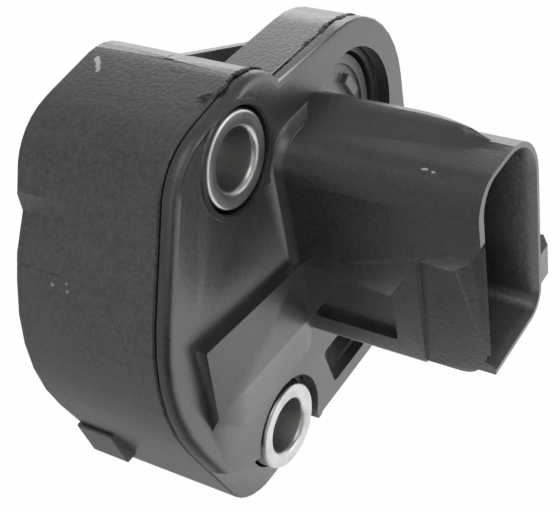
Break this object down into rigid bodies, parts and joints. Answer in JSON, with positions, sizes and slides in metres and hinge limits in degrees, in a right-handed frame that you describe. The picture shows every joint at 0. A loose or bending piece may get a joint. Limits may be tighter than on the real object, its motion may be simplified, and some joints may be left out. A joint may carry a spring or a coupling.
{
  "type": "throttle position sensor",
  "caption": "Drum-shaped rotary sensor with two bushed mounting ears, a side lobe with a round tower, a plug socket with terminal blades and a drive socket for the throttle shaft on its back.",
  "frame": {"origin": "on the rotor's axis, in the plane of the mounting face", "axes": "+X along the rotor's axis and out of the plug socket, +Z along the line through the two bushings towards the round tower's end, +Y towards the side lobe"},
  "size_m": [0.0347, 0.0407, 0.0418],
  "materials": {
    "moulded_black": "satin moulded, fine grain",
    "inner_black": "matte moulded",
    "bushing_steel": "plated",
    "spring_steel": "plain",
    "terminal_brass": "plain",
    "bush_bronze": "sintered",
    "seal_rubber": "matte",
    "board_ceramic": "fired ceramic",
    "carbon_film": "printed film"
  },
  "bodies": {
    "sensor_body": {"drum_housing": "moulded_black", "connector_cover": "moulded_black", "upper_bushing": "bushing_steel", "lower_bushing": "bushing_steel", "tower_plug": "inner_black", "mounting_seal": "seal_rubber", "bearing_bush": "bush_bronze", "return_spring": "spring_steel", "element_board": "board_ceramic", "resistive_track": "carbon_film", "collector_track": "carbon_film", "supply_terminal": "terminal_brass", "signal_terminal": "terminal_brass", "ground_terminal": "terminal_brass"},
    "rotor": {"rotor_hub": "inner_black", "shaft_insert": "bushing_steel", "retaining_ring": "spring_steel", "thrust_washer": "bush_bronze", "wiper_carrier": "inner_black", "outer_brush": "terminal_brass", "inner_brush": "terminal_brass"}
  },
  "joints": [
    {"name": "rotor_turn", "type": "hinge", "parent": "sensor_body", "child": "rotor", "pos_m": [0, 0, 0], "axis": [1, 0, 0], "range_deg": [0, 95], "stiffness_Nm_per_rad": 0.008, "springref_deg": -34.38}
  ]
}
